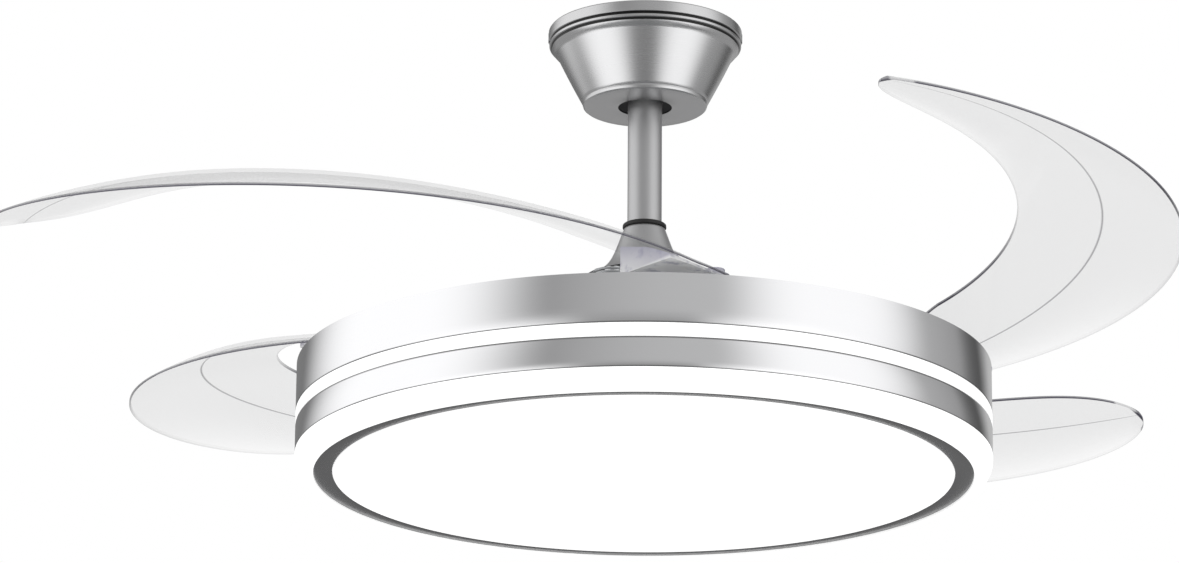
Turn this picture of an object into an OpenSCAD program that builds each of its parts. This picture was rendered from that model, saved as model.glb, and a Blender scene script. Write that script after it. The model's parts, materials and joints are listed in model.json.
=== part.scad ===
// Retractable blade ceiling fan with a drum light, in millimetres.
// The origin is the centre of the ceiling bracket's top face, +Z points up and the fan hangs below it.
// Heights called "rim height" are measured up from the drum's top edge.

/* [Hanging] */
// Distance from the ceiling down to the drum's top edge
rim_drop = 260; // [250:1:330]
// Outside diameter of the downrod
rod_d = 25; // [22:0.5:26]
// Wall of the downrod
rod_wall = 1.8; // [1.2:0.1:2.5]
// Radius of the hanger ball
ball_r = 21; // [20:0.5:22]
// Depth of the ball's centre below the ceiling
ball_depth = 27; // [26:0.5:29]
// Hole-to-hole distance of the two ceiling screws
ceiling_hole_spacing = 90; // [80:1:96]
// Radius of the ceiling screw holes
ceiling_hole_r = 2.6; // [2:0.1:3.2]

/* [Canopy] */
// Outer radius of the canopy's flange
canopy_r = 71; // [69:0.5:76]
// Height of the canopy
canopy_h = 57; // [54:0.5:62]
// Radius of the canopy at its lower lip
canopy_lip_r = 44.5; // [41:0.5:48]
// Radius of the rod's hole in the canopy's bottom
canopy_hole_r = 19.5; // [18.5:0.5:21]
// Sheet thickness of the canopy
canopy_t = 1.2; // [0.8:0.1:1.6]

/* [Coupling] */
// Height of the trumpet cover over the motor yoke
cover_h = 36; // [34:0.5:42]
// Radius of the trumpet cover at its base
cover_base_r = 44; // [38:0.5:50]
// Radius of the trumpet cover at its neck
cover_neck_r = 17; // [16.5:0.1:20]
// Wall of the trumpet cover
cover_t = 1.6; // [1:0.1:2]

/* [Motor] */
// Radius of the motor shaft
shaft_r = 10; // [9:0.25:10.5]
// Outer radius of the rotor covers
motor_r = 76; // [74:0.5:79]
// Number of stator teeth
stator_slots = 12; // [9:3:15]
// Number of rotor magnets
magnet_count = 16; // [12:2:20]

/* [Blade carrier] */
// Thickness of the blade plate
plate_t = 2.5; // [2:0.1:3]
// Outer radius of the blade plate
plate_r = 226; // [222:1:232]
// Distance of the blade pivots from the fan's axis
pivot_radius = 183.2; // [181:0.5:186]
// Direction of the first blade's pivot
pivot_azimuth = -6.7; // [-9:0.2:-4]
// Radius of the pivot pins
pivot_pin_r = 6; // [5:0.25:7]
// Thickness of the blade arms
arm_t = 5.5; // [4.5:0.1:6]
// Wire diameter of the return springs
spring_wire = 1.8; // [1.4:0.1:2]
// Whole turns of each return spring
spring_coils = 4; // [3:1:5]

/* [Blades] */
// Radius of the arc that the blade's crease follows
crease_r = 280.0; // [276:0.5:284]
// Greatest width outside the crease
blade_outer_w = 55.7; // [49:1:59]
// Width inside the crease before it grows towards the tip
blade_inner_w = 53.4; // [47:1:56]
// Thickness of the blade at its crease
blade_t = 2.8; // [2:0.1:3.2]
// Thickness of the blade at its edges
blade_edge_t = 1.8; // [1.2:0.1:2.4]
// Rise of the crease from root to tip
blade_rise = 75.4; // [71:0.5:79]
// Angle by which the second blade stands further open than the first
open_2 = 30.9; // [27:0.2:32]
// Angle by which the third blade stands further open than the first
open_3 = 7.6; // [4:0.2:10]
// Angle by which the fourth blade stands further open than the first
open_4 = -4.3; // [-7:0.2:-1]
// Cross-sections along each blade
blade_steps = 28; // [20:1:32]

/* [Drum] */
// Outer radius of the drum
drum_r = 250; // [247:0.5:260]
// Height of the upper metal band
upper_band_h = 35; // [32:0.5:42]
// Height of the luminous ring between the bands
light_ring_h = 9.5; // [7:0.5:14]
// Height of the lower metal band
lower_band_h = 21.5; // [18:0.5:28]
// Height of the white outer ring under the bands
outer_ring_h = 14; // [13:0.5:18]
// Sheet thickness of the metal bands
band_t = 1.5; // [1:0.1:2]
// Width of the dark trim ring as seen from below
trim_w = 13.5; // [10:0.5:18]
// Depth of the trim ring inside the outer ring's lip
trim_recess = 1.6; // [1:0.1:2.5]
// Thickness of the diffuser
diffuser_t = 2.5; // [2:0.1:3.5]
// Height that the diffuser stands below the trim ring
diffuser_drop = 0.9; // [0.5:0.1:1.5]

/* [Hidden] */

$fn = 96;
blade_count = 4;
// Radial clearance of running fits, of pinned joints and of screws in their holes
run_fit = 0.05;
screw_fit = 0.1;
// Axial clearance between pieces that turn on each other, and between seated pieces
run_gap = 0.4;
seat_gap = 0.2;

rod_r = rod_d / 2;

// Rim heights of the blade carrier, from the plate upwards
arm_z = plate_t + run_gap;
arm_top = arm_z + arm_t;
pad_t = 3.5;
root_z = arm_top + pad_t;
hub_top = arm_top + 6.5;
clip_t = 1;
clip_z = hub_top + 0.3;
pin_top = clip_z + clip_t + 7;

// Rim heights of the motor
floor_t = 5;
bearing_r = 23.5;
bearing_w = 14;
lower_bearing_z = plate_t + floor_t + 0.5;
stator_z = lower_bearing_z + bearing_w + 4;
stator_h = 20;
collar_z = stator_z + stator_h + seat_gap;
collar_h = 3.8;
upper_bearing_z = collar_z + collar_h + seat_gap;
motor_top = upper_bearing_z + bearing_w + seat_gap + 2.6;
rotor_wall = 6.5;
split_z = stator_z + stator_h / 2;
shoulder_z = stator_z + stator_h + 1;
rotor_screw_z = shoulder_z + 0.5;
magnet_t = 4.5;
magnet_r = motor_r - rotor_wall;
stator_r = magnet_r - magnet_t - 0.8;

// Rim heights of the yoke, its cover and the rod's lower end
yoke_z = motor_top + 1.6;
yoke_r = rod_r + 3.5;
socket_depth = 14;
shaft_top = yoke_z + socket_depth;
rod_bottom = shaft_top + 2;
yoke_top = rod_bottom + 16;
cover_top = yoke_top + 12;
cover_z = cover_top - cover_h;
wire_r = 5.5;

// Rim heights inside the drum
chassis_z = -6;
chassis_t = 2;
light_ring_z = -upper_band_h;
lower_band_z = light_ring_z - light_ring_h;
outer_ring_z = lower_band_z - lower_band_h;
drum_bottom = outer_ring_z - outer_ring_h;
skirt_r = drum_r - 5;
outer_ring_inner_r = drum_r - outer_ring_h + 0.7;
trim_outer_r = outer_ring_inner_r - 0.3;
trim_inner_r = trim_outer_r - trim_w;
trim_bottom = drum_bottom + trim_recess;
trim_t = 1.5;
tray_z = chassis_z - chassis_t - 26;
tray_t = 1.5;
tray_r = skirt_r - 12;
tray_post_circle = tray_r - 83;
board_r = skirt_r - 25;
board_inner_r = 60;
led_rows = 4;
first_led_circle = 90;
led_row_pitch = (board_r - 16 - first_led_circle) / (led_rows - 1);
// Cases of the light's driver and the remote's receiver
driver_l = 140;
driver_w = 38;
driver_h = 22;
driver_y = 52;
receiver_l = 90;
receiver_w = 34;
receiver_h = 18;
receiver_y = 92;
case_ear_l = 14;

// Ceiling end
bracket_t = 2.5;
bracket_w = 34;
tab_x = canopy_r - 4.5;
leg_x = ball_r + 7;
seat_top = -ball_depth - 7;
seat_t = 6;
canopy_screw_z = -5;
canopy_screw_r = 1.9;

module at_rim(z = 0) {
    translate([0, 0, z - rim_drop]) children();
}

// A ring or tube between two radii, standing on rim height z
module ring(outer, inner, h, z = 0) {
    translate([0, 0, z])
        difference() {
            cylinder(h = h, r = outer);
            translate([0, 0, -1]) cylinder(h = h + 2, r = inner);
        }
}

// Copies of the children on a circle
module around(count, radius, start = 0) {
    for (i = [0 : count - 1])
        rotate(start + i * 360 / count) translate([radius, 0, 0]) children();
}

// ---------------------------------------------------------------- ceiling end

module ceiling_bracket() {
    color("gainsboro")
    difference() {
        union() {
            translate([-tab_x, -bracket_w / 2, -bracket_t]) cube([2 * tab_x, bracket_w, bracket_t]);
            for (side = [-1, 1]) {
                // end tab that takes the canopy screw
                translate([side * (tab_x - 1) - 1, -9, -12]) cube([2, 18, 12 - bracket_t / 2]);
                // leg down to the ball seat
                translate([side * (leg_x + 1.25) - 1.25, -17, seat_top - seat_t])
                    cube([2.5, 34, -seat_top + seat_t - bracket_t / 2]);
            }
            translate([-leg_x - 1, -17, seat_top - seat_t]) cube([2 * leg_x + 2, 34, seat_t]);
            // tab that keeps the ball from turning
            translate([ball_r - 2, -1.5, -ball_depth - 2]) cube([leg_x - ball_r + 3, 3, 4]);
        }
        translate([0, 0, -ball_depth]) sphere(r = ball_r + 0.25);
        translate([0, 0, -ball_depth - ball_r]) cylinder(h = ball_r, r = rod_r + 2.6);
        // slot that the rod is slid in through
        translate([-rod_r - 0.75, 0, seat_top - seat_t - 1]) cube([rod_d + 1.5, 18, seat_t + 2]);
        // wiring hole in the ceiling plate
        translate([0, 0, -bracket_t - 1]) cylinder(h = bracket_t + 2, r = 14);
        for (side = [-1, 1]) {
            translate([side * ceiling_hole_spacing / 2, 0, -bracket_t - 1])
                cylinder(h = bracket_t + 2, r = ceiling_hole_r);
            translate([side * (tab_x - 3), 0, canopy_screw_z]) rotate([0, 90, 0])
                cylinder(h = 8, r = canopy_screw_r + screw_fit, center = true);
        }
    }
}

// Outline of the canopy's outer side, from the ceiling down to the lip
function canopy_profile() = [
    [canopy_r - 0.6, -0.1],
    [canopy_r, -1],
    [canopy_r, -8],
    [canopy_r - 1.5, -8.8],
    [canopy_r - 1.5, -9.6],
    [canopy_r - 0.5, -10.3],
    [canopy_r - 0.5, -12],
    [canopy_r - 2.2, -12.8],
    [canopy_r - 2.2, -14],
    [canopy_r - 4.6, -16.6],
    for (i = [0 : 8])
        let (t = i / 8, z = -17.5 - t * (canopy_h - 21.5))
        [canopy_r - 6 - (canopy_r - 6 - canopy_lip_r - 1) * t - 1.6 * sin(180 * t), z],
    [canopy_lip_r + 0.2, -canopy_h + 3.4],
    [canopy_lip_r + 0.6, -canopy_h + 2.4],
    [canopy_lip_r, -canopy_h + 0.8],
    [canopy_lip_r - 1, -canopy_h]
];

module canopy() {
    outer = canopy_profile();
    inner = [for (i = [len(outer) - 1 : -1 : 0]) [outer[i][0] - canopy_t, outer[i][1]]];
    color("silver")
    difference() {
        rotate_extrude()
            polygon(concat(
                outer,
                [[canopy_hole_r, -canopy_h], [canopy_hole_r, -canopy_h + canopy_t],
                 [canopy_lip_r - 1 - canopy_t, -canopy_h + canopy_t]],
                [for (p = inner) if (p[1] > -canopy_h + canopy_t) p]
            ));
        for (side = [-1, 1])
            translate([side * canopy_r, 0, canopy_screw_z]) rotate([0, 90, 0])
                cylinder(h = 6, r = canopy_screw_r + 2 * screw_fit, center = true);
    }
}

module canopy_screws() {
    color("silver")
    for (side = [0, 180])
        rotate(side) translate([canopy_r + 0.05, 0, canopy_screw_z]) rotate([0, 90, 0]) {
            cylinder(h = 1.8, r1 = 3.9, r2 = 3);
            translate([0, 0, -9]) cylinder(h = 9.5, r = canopy_screw_r);
        }
}

ball_pin_r = 3;

module hanger_ball() {
    color("dimgray")
    translate([0, 0, -ball_depth])
    difference() {
        intersection() {
            sphere(r = ball_r);
            translate([0, 0, -ball_r - 1]) cylinder(h = ball_r + 13, r = ball_r + 1);
        }
        cylinder(h = 3 * ball_r, r = rod_r + run_fit, center = true);
        // cross hole for the pin
        rotate([90, 0, 0]) cylinder(h = 3 * ball_r, r = ball_pin_r + run_fit, center = true);
        // groove that the bracket's tab runs in
        translate([ball_r - 2.5, -1.9, -10]) cube([5, 3.8, 20]);
        // threaded hole for the set screw
        translate([-ball_r, 0, 6]) rotate([0, 90, 0]) cylinder(h = ball_r, r = 2.5 + screw_fit);
    }
}

module ball_pin() {
    color("silver")
    translate([0, 0, -ball_depth]) rotate([90, 0, 0])
        cylinder(h = 2 * ball_r - 5, r = ball_pin_r, center = true);
}

module ball_set_screw() {
    color("silver")
    translate([-ball_r + 2.2, 0, 6 - ball_depth]) rotate([0, 90, 0])
    difference() {
        cylinder(h = ball_r - 2.2 - rod_r - 0.1, r = 2.5);
        // driving slot
        translate([-3, -0.4, -1]) cube([6, 0.8, 2.2]);
    }
}

rod_top = -ball_depth + 15;

module downrod() {
    color("silver")
    difference() {
        translate([0, 0, rod_bottom - rim_drop])
            cylinder(h = rod_top - rod_bottom + rim_drop, r = rod_r);
        translate([0, 0, rod_bottom - rim_drop - 1])
            cylinder(h = rod_top - rod_bottom + rim_drop + 2, r = rod_r - rod_wall);
        translate([0, 0, -ball_depth]) rotate([90, 0, 0])
            cylinder(h = 2 * rod_d, r = ball_pin_r + run_fit, center = true);
        at_rim(yoke_pin_z) rotate([90, 0, 0])
            cylinder(h = 2 * rod_d, r = yoke_pin_r + run_fit, center = true);
    }
}

module rod_gasket() {
    color("black")
    at_rim(cover_top + 0.05)
        rotate_extrude()
            polygon([
                [rod_r + run_fit, 0], [cover_neck_r - 0.8, 0], [cover_neck_r - 0.5, 0.6],
                [cover_neck_r - 0.9, 1.9], [cover_neck_r - 1.8, 2.5], [rod_r + run_fit, 2.5]
            ]);
}

// Radius of the trumpet cover's outside at a fraction t from the neck down to the base
function trumpet(t) = cover_neck_r + (cover_base_r - cover_neck_r) * pow(t, 2.4);

module coupling_cover() {
    steps = 14;
    color("darkgray")
    at_rim()
        rotate_extrude()
            polygon(concat(
                [[rod_r + run_fit, cover_top], [cover_neck_r - 0.6, cover_top]],
                [for (i = [0 : steps])
                    let (t = i / steps) [trumpet(t), cover_top - 0.6 - t * (cover_h - 0.6)]],
                [for (i = [steps : -1 : 0])
                    let (t = i / steps, z = cover_top - 0.6 - t * (cover_h - 0.6))
                    if (z < yoke_top - 1) [trumpet(t) - cover_t, z]],
                [[yoke_r + 0.8, yoke_top + 0.1], [rod_r + run_fit, yoke_top + 0.1]]
            ));
}

// ---------------------------------------------------------------- yoke and shaft

yoke_pin_r = 3;
yoke_pin_z = yoke_top - 8;
yoke_set_z = yoke_z + 7;

module motor_yoke() {
    color("dimgray")
    at_rim()
    difference() {
        translate([0, 0, yoke_z]) cylinder(h = yoke_top - yoke_z, r = yoke_r);
        translate([0, 0, yoke_z - 1]) cylinder(h = socket_depth + 1.1, r = shaft_r + run_fit);
        translate([0, 0, yoke_z]) cylinder(h = yoke_top, r = wire_r);
        translate([0, 0, rod_bottom - 0.1]) cylinder(h = 30, r = rod_r + run_fit);
        translate([0, 0, yoke_pin_z]) rotate([90, 0, 0])
            cylinder(h = 4 * yoke_r, r = yoke_pin_r + run_fit, center = true);
        translate([0, 0, yoke_set_z]) rotate([0, 90, 0])
            cylinder(h = 4 * yoke_r, r = 2.5 + screw_fit, center = true);
    }
}

pin_hole_y = yoke_r + 1.8;

module yoke_pin() {
    color("silver")
    at_rim(yoke_pin_z)
    difference() {
        union() {
            rotate([90, 0, 0]) cylinder(h = 2 * pin_hole_y + 3, r = yoke_pin_r, center = true);
            translate([0, -yoke_r - 0.1, 0]) rotate([90, 0, 0]) cylinder(h = 2, r = yoke_pin_r + 1.5);
        }
        translate([0, pin_hole_y, 0]) rotate([0, 90, 0]) cylinder(h = 20, r = 0.9, center = true);
    }
}

module yoke_split_pin() {
    color("silver")
    at_rim(yoke_pin_z) translate([0, pin_hole_y, 0]) {
        rotate([0, 90, 0]) cylinder(h = 11, r = 0.8, center = true);
        translate([-7, 0, 0]) rotate([90, 0, 0])
            rotate_extrude() translate([1.8, 0]) circle(r = 0.75, $fn = 24);
    }
}

module yoke_set_screws() {
    color("silver")
    at_rim(yoke_set_z)
    for (side = [0, 180])
        rotate(side) translate([shaft_r + 0.15, 0, 0]) rotate([0, 90, 0])
        difference() {
            cylinder(h = yoke_r - shaft_r - 1, r = 2.5);
            translate([0, 0, yoke_r - shaft_r - 3]) cylinder(h = 3, r = 1.2, $fn = 6);
        }
}

nut_h = 7;
shaft_thread_r = shaft_r - 1;

module motor_shaft() {
    color("silver")
    at_rim()
    difference() {
        union() {
            translate([0, 0, chassis_z]) cylinder(h = shaft_top - chassis_z, r = shaft_r);
            translate([0, 0, collar_z]) cylinder(h = collar_h, r = shaft_r + 3);
            // stop under the lower bearing
            translate([0, 0, lower_bearing_z - 2.2]) cylinder(h = 2, r = shaft_r + 2.5);
            translate([0, 0, chassis_z - chassis_t - nut_h - 3])
                cylinder(h = nut_h + chassis_t + 3.5, r = shaft_thread_r);
        }
        translate([0, 0, chassis_z - 40]) cylinder(h = shaft_top + 60, r = wire_r);
    }
}

module shaft_nut() {
    color("silver")
    at_rim(chassis_z - chassis_t - nut_h - 0.05)
    difference() {
        cylinder(h = nut_h, r = shaft_thread_r + 6.5, $fn = 6);
        translate([0, 0, -1]) cylinder(h = nut_h + 2, r = shaft_thread_r + run_fit);
    }
}

// ---------------------------------------------------------------- motor

stator_hub_r = 30;
tooth_w = 0.42 * 2 * PI * stator_hub_r / stator_slots;

module stator_core() {
    tip_t = 3;
    tip_gap = 3;
    color("dimgray")
    at_rim(stator_z)
    linear_extrude(stator_h)
    difference() {
        union() {
            circle(r = stator_hub_r);
            for (i = [0 : stator_slots - 1])
                rotate(i * 360 / stator_slots)
                    translate([stator_hub_r - 2, -tooth_w / 2])
                        square([stator_r - tip_t - stator_hub_r + 3, tooth_w]);
            difference() {
                circle(r = stator_r);
                circle(r = stator_r - tip_t);
                for (i = [0 : stator_slots - 1])
                    rotate((i + 0.5) * 360 / stator_slots)
                        translate([0, -tip_gap / 2]) square([stator_r + 5, tip_gap]);
            }
        }
        circle(r = shaft_r + run_fit);
    }
}

module stator_windings() {
    coil = 2.2;
    length = stator_r - stator_hub_r - 6.5;
    color("peru")
    at_rim(stator_z - coil - 0.3)
    around(stator_slots, stator_hub_r + 1.5)
    difference() {
        translate([0, -tooth_w / 2 - coil - 0.15, 0])
            cube([length, tooth_w + 2 * coil + 0.3, stator_h + 2 * coil + 0.6]);
        translate([-1, -tooth_w / 2 - 0.15, coil]) cube([length + 2, tooth_w + 0.3, stator_h + 0.6]);
    }
}

// Sealed ball bearing, one solid with grooves where the seals sit
module bearing(z) {
    color("lightgray")
    at_rim(z)
        rotate_extrude()
            polygon([
                [shaft_r + 0.03, 0], [shaft_r + 3.2, 0], [shaft_r + 3.4, 0.5], [bearing_r - 3.4, 0.5],
                [bearing_r - 3.2, 0], [bearing_r, 0], [bearing_r, bearing_w],
                [bearing_r - 3.2, bearing_w], [bearing_r - 3.4, bearing_w - 0.5],
                [shaft_r + 3.4, bearing_w - 0.5], [shaft_r + 3.2, bearing_w],
                [shaft_r + 0.03, bearing_w]
            ]);
}

rotor_screw_count = 6;
rotor_screw_circle = motor_r - 3.3;
plate_screw_count = 6;
plate_screw_circle = motor_r - 12;
cover_hole_r = shaft_r + 4;

module rotor_bottom_cover() {
    wall_r = motor_r - rotor_wall;
    boss_r = bearing_r + 5;
    color("gray")
    at_rim()
    difference() {
        rotate_extrude()
            polygon([
                [cover_hole_r, plate_t], [motor_r - 1.5, plate_t], [motor_r, plate_t + 1.5],
                [motor_r, split_z], [wall_r, split_z],
                [wall_r, plate_t + floor_t], [boss_r, plate_t + floor_t],
                [boss_r, lower_bearing_z + bearing_w], [bearing_r + 0.02, lower_bearing_z + bearing_w],
                [bearing_r + 0.02, lower_bearing_z], [cover_hole_r, lower_bearing_z]
            ]);
        around(rotor_screw_count, rotor_screw_circle, 30)
            translate([0, 0, split_z - 12]) cylinder(h = 20, r = 1.5 + screw_fit, $fn = 32);
        around(plate_screw_count, plate_screw_circle)
            cylinder(h = plate_t + floor_t - 0.8, r = 2 + screw_fit, $fn = 32);
    }
}

module rotor_top_cover() {
    wall_r = motor_r - rotor_wall;
    boss_r = bearing_r + 5;
    boss_bottom = upper_bearing_z + seat_gap;
    color("gray")
    at_rim()
    difference() {
        rotate_extrude()
            polygon([
                [cover_hole_r, motor_top - 2.6], [cover_hole_r, motor_top], [boss_r + 3, motor_top],
                [boss_r + 5, motor_top - 3], [motor_r - 7, shoulder_z + 7], [motor_r - 2, shoulder_z + 4],
                [motor_r, shoulder_z], [motor_r, split_z + 0.1], [wall_r, split_z + 0.1],
                [wall_r, shoulder_z - 1], [wall_r - 3, shoulder_z + 3], [boss_r + 2, motor_top - 6.5],
                [boss_r, motor_top - 6.5], [boss_r, boss_bottom], [bearing_r + 0.02, boss_bottom],
                [bearing_r + 0.02, motor_top - 2.6]
            ]);
        around(rotor_screw_count, rotor_screw_circle, 30) {
            translate([0, 0, split_z - 1]) cylinder(h = 20, r = 1.5 + screw_fit, $fn = 32);
            translate([0, 0, rotor_screw_z]) cylinder(h = 20, r = 2.9);
        }
    }
}

module rotor_magnets() {
    pitch = 360 / magnet_count;
    color("dimgray")
    at_rim(stator_z + 0.5)
    for (i = [0 : magnet_count - 1])
        rotate(i * pitch + pitch * 0.06)
            rotate_extrude(angle = pitch * 0.88)
                translate([magnet_r - magnet_t, 0]) square([magnet_t - 0.05, stator_h - 1]);
}

module rotor_screws() {
    color("silver")
    at_rim()
    around(rotor_screw_count, rotor_screw_circle, 30) {
        translate([0, 0, rotor_screw_z + 0.05]) cylinder(h = 2.4, r = 2.6, $fn = 32);
        translate([0, 0, split_z - 10]) cylinder(h = rotor_screw_z - split_z + 10.5, r = 1.5, $fn = 32);
    }
}

// ---------------------------------------------------------------- blade carrier

rib_h = 6;

module blade_plate() {
    color("silver")
    at_rim()
    difference() {
        union() {
            cylinder(h = plate_t, r = plate_r);
            // low rib that stiffens the plate round the motor
            ring(motor_r + 9, motor_r + 5, rib_h + 0.1, plate_t - 0.1);
        }
        translate([0, 0, -1]) cylinder(h = plate_t + 2, r = cover_hole_r + 3);
        around(plate_screw_count, plate_screw_circle)
            translate([0, 0, -1]) cylinder(h = plate_t + 2, r = 2 + screw_fit, $fn = 32);
        around(blade_count, pivot_radius, pivot_azimuth)
            translate([0, 0, -1]) cylinder(h = plate_t + 2, r = pivot_pin_r + run_fit);
        // lightening holes between the pivots
        around(blade_count, pivot_radius - 34, pivot_azimuth + 45)
            translate([0, 0, -1]) cylinder(h = plate_t + 2, r = 34);
    }
}

module plate_screws() {
    color("silver")
    at_rim()
    around(plate_screw_count, plate_screw_circle) {
        translate([0, 0, -2.55]) cylinder(h = 2.5, r = 3.6, $fn = 32);
        translate([0, 0, -0.5]) cylinder(h = plate_t + floor_t - 1, r = 2, $fn = 32);
    }
}

module pivot_pins() {
    slot_w = spring_wire + 0.4;
    color("silver")
    at_rim()
    around(blade_count, pivot_radius, pivot_azimuth)
    difference() {
        union() {
            translate([0, 0, -2.05]) cylinder(h = 2, r = pivot_pin_r + 3);
            translate([0, 0, -0.5]) cylinder(h = pin_top + 0.5, r = pivot_pin_r);
        }
        // groove for the clip
        ring(pivot_pin_r + 1, pivot_pin_r - 0.7, clip_t + 0.2, clip_z - 0.1);
        // slot that holds the spring's inner leg
        translate([-pivot_pin_r - 1, -slot_w / 2, pin_top - 4.2]) cube([2 * pivot_pin_r + 2, slot_w, 6]);
    }
}

module pivot_clips() {
    color("dimgray")
    at_rim(clip_z)
    around(blade_count, pivot_radius, pivot_azimuth)
    difference() {
        cylinder(h = clip_t, r = pivot_pin_r + 2.4);
        translate([0, 0, -1]) cylinder(h = clip_t + 2, r = pivot_pin_r - 0.6);
        translate([0, -pivot_pin_r / 2, -1]) cube([2 * pivot_pin_r, pivot_pin_r, clip_t + 2]);
    }
}

function polar(r, a) = [r * cos(a), r * sin(a)];

// ---------------------------------------------------------------- blades

pivot = polar(pivot_radius, pivot_azimuth);
// Where the crease starts, seen from the pivot
root_distance = 95.2642;
root_direction = 110.0913;
root_azimuth = 65.7;
tip_azimuth = -64.5;
crease_centre = pivot + polar(root_distance, root_direction) - polar(crease_r, root_azimuth);
tip_sharpness = 9.9;
root_outer_w = 9.9;
outer_sweep = 113.9;
root_inner_share = 0.612;
inner_growth = 0.304;
// How far down the blade the inner part reaches its plain width
inner_spread = 0.2;
climb_gain = 1.66;
climb_bend = 0.833;
climb_start = 0.14;
outer_fall_ends = 0.354;
outer_fall_mid = 0.134;
inner_climb_root = 0.268;
inner_climb_tip = 0.169;
inner_climb_mid = 0.024;

function crease_azimuth(s) = root_azimuth + (tip_azimuth - root_azimuth) * s;
// Both widths run out in a round tip
function tip_round(s) = sqrt(max(0, 1 - pow(s, tip_sharpness)));
function outer_width(s) =
    (root_outer_w + (blade_outer_w - root_outer_w) * sin(outer_sweep * s) / sin(outer_sweep)) * tip_round(s);
function inner_width(s) =
    (root_inner_share + (1 - root_inner_share) * min(1, s / inner_spread)) * blade_inner_w
    * (1 + inner_growth * s * s) * tip_round(s);
// The crease stays low over the root and then climbs, so that the folded blades lie over one another
function climb(s) = s * s / (s + climb_start);
function crease_z(s) = root_z + blade_rise * (climb_gain * climb(s) - climb_bend * climb(s) * climb(s));
// Fall of the outer part and rise of the inner part per millimetre of width, both small at the root
function near_root(s) = min(1, 0.2 + 6 * s);
function outer_fall(s) = (outer_fall_ends + outer_fall_mid * sin(180 * s)) * near_root(s);
function inner_climb(s) =
    (inner_climb_root * (1 - s) + inner_climb_tip * s - inner_climb_mid * sin(180 * s)) * near_root(s);
// Point of the middle surface at s along the blade and w across it, positive outwards
function blade_point(s, w) =
    let (a = crease_azimuth(s), r = crease_r + w)
    [crease_centre[0] + r * cos(a), crease_centre[1] + r * sin(a),
     crease_z(s) - (w > 0 ? w * outer_fall(s) : w * inner_climb(s))];

across = [-1, -0.66, -0.33, 0, 0.25, 0.5, 0.75, 1];
// Swell of the outer and inner parts between the crease and the edge
outer_bow = 1.6;
inner_bow = 0.8;

function station(i) = min(0.999, 1 - pow(1 - i / blade_steps, 1.6));
function section(s) =
    let (
        mid = [for (t = across)
            blade_point(s, t * (t < 0 ? inner_width(s) : outer_width(s)))
            + [0, 0, (t < 0 ? -inner_bow * t * (1 + t) : outer_bow * t * (1 - t)) * 4 * tip_round(s)]],
        half = [for (t = across) (blade_edge_t + (blade_t - blade_edge_t) * (1 - abs(t))) / 2]
    )
    concat(
        [for (k = [0 : len(across) - 1]) mid[k] - [0, 0, half[k]]],
        [for (k = [len(across) - 1 : -1 : 0]) mid[k] + [0, 0, half[k]]]
    );

// Skin through a list of rings that all have the same number of points
module skin(rings) {
    n = len(rings[0]);
    last = len(rings) - 1;
    polyhedron(
        points = [for (r = rings) each r],
        faces = concat(
            [for (k = [0 : n / 2 - 2])
                each [[k, k + 1, n - 1 - k], [k + 1, n - 2 - k, n - 1 - k]]],
            [for (i = [0 : last - 1], k = [0 : n - 1])
                let (a = i * n + k, b = i * n + (k + 1) % n)
                each [[a, a + n, b], [b, a + n, b + n]]],
            [for (k = [0 : n / 2 - 2], m = [last * n])
                each [[m + k, m + n - 1 - k, m + k + 1], [m + k + 1, m + n - 1 - k, m + n - 2 - k]]]
        )
    );
}

blade_screw_spots = [[0.03, -10], [0.075, 6], [0.115, -14]];
blade_screw_r = 2;
boss_r = 6.5;
counterbore_r = 4.2;
counterbore_h = 2.8;
// Each boss ends a little above the blade's surface
function boss_top(i) = let (p = blade_screw_spots[i]) blade_point(p[0], p[1])[2] + 3.6;

function blade_screw_xy(i) =
    let (p = blade_point(blade_screw_spots[i][0], blade_screw_spots[i][1])) [p[0], p[1]];

function heading(p, q) = atan2(q[1] - p[1], q[0] - p[0]);
// Outline at distance r around two or more points that go round anticlockwise
function rounded(pts, r, arc_steps = 12) =
    let (n = len(pts))
    [for (i = [0 : n - 1])
        let (
            into = heading(pts[(i + n - 1) % n], pts[i]) - 90,
            out = heading(pts[i], pts[(i + 1) % n]) - 90,
            turn = (out - into + 720) % 360
        )
        for (j = [0 : arc_steps]) pts[i] + polar(r, into + turn * j / arc_steps)];

// Outline of the blade's root pad, around its three screws
function pad_outline(r) = rounded([for (i = [2 : -1 : 0]) blade_screw_xy(i)], r);

opening = [0, open_2, open_3, open_4];

// Everything of one blade is drawn for the first blade, swung open on its pivot and turned to its place
module at_pivot(k) {
    at_rim() rotate((k - 1) * 360 / blade_count) translate([pivot[0], pivot[1], 0]) children();
}

module at_blade(k) {
    at_pivot(k) rotate(opening[k - 1]) translate([-pivot[0], -pivot[1], 0]) children();
}

module blade(k) {
    color([0.85, 0.87, 0.9, 0.5])
    at_blade(k)
    difference() {
        union() {
            skin([for (i = [0 : blade_steps]) section(station(i))]);
            translate([0, 0, arm_top + 0.1]) linear_extrude(pad_t) polygon(pad_outline(boss_r + 3));
            for (i = [0 : 2])
                translate([blade_screw_xy(i)[0], blade_screw_xy(i)[1], arm_top + 0.5])
                    cylinder(h = boss_top(i) - arm_top - 0.5, r = boss_r);
        }
        for (i = [0 : 2])
            translate([blade_screw_xy(i)[0], blade_screw_xy(i)[1], arm_top - 1]) {
                cylinder(h = 30, r = blade_screw_r + screw_fit);
                translate([0, 0, boss_top(i) - arm_top + 1 - counterbore_h])
                    cylinder(h = 12, r = counterbore_r);
            }
    }
}

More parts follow.
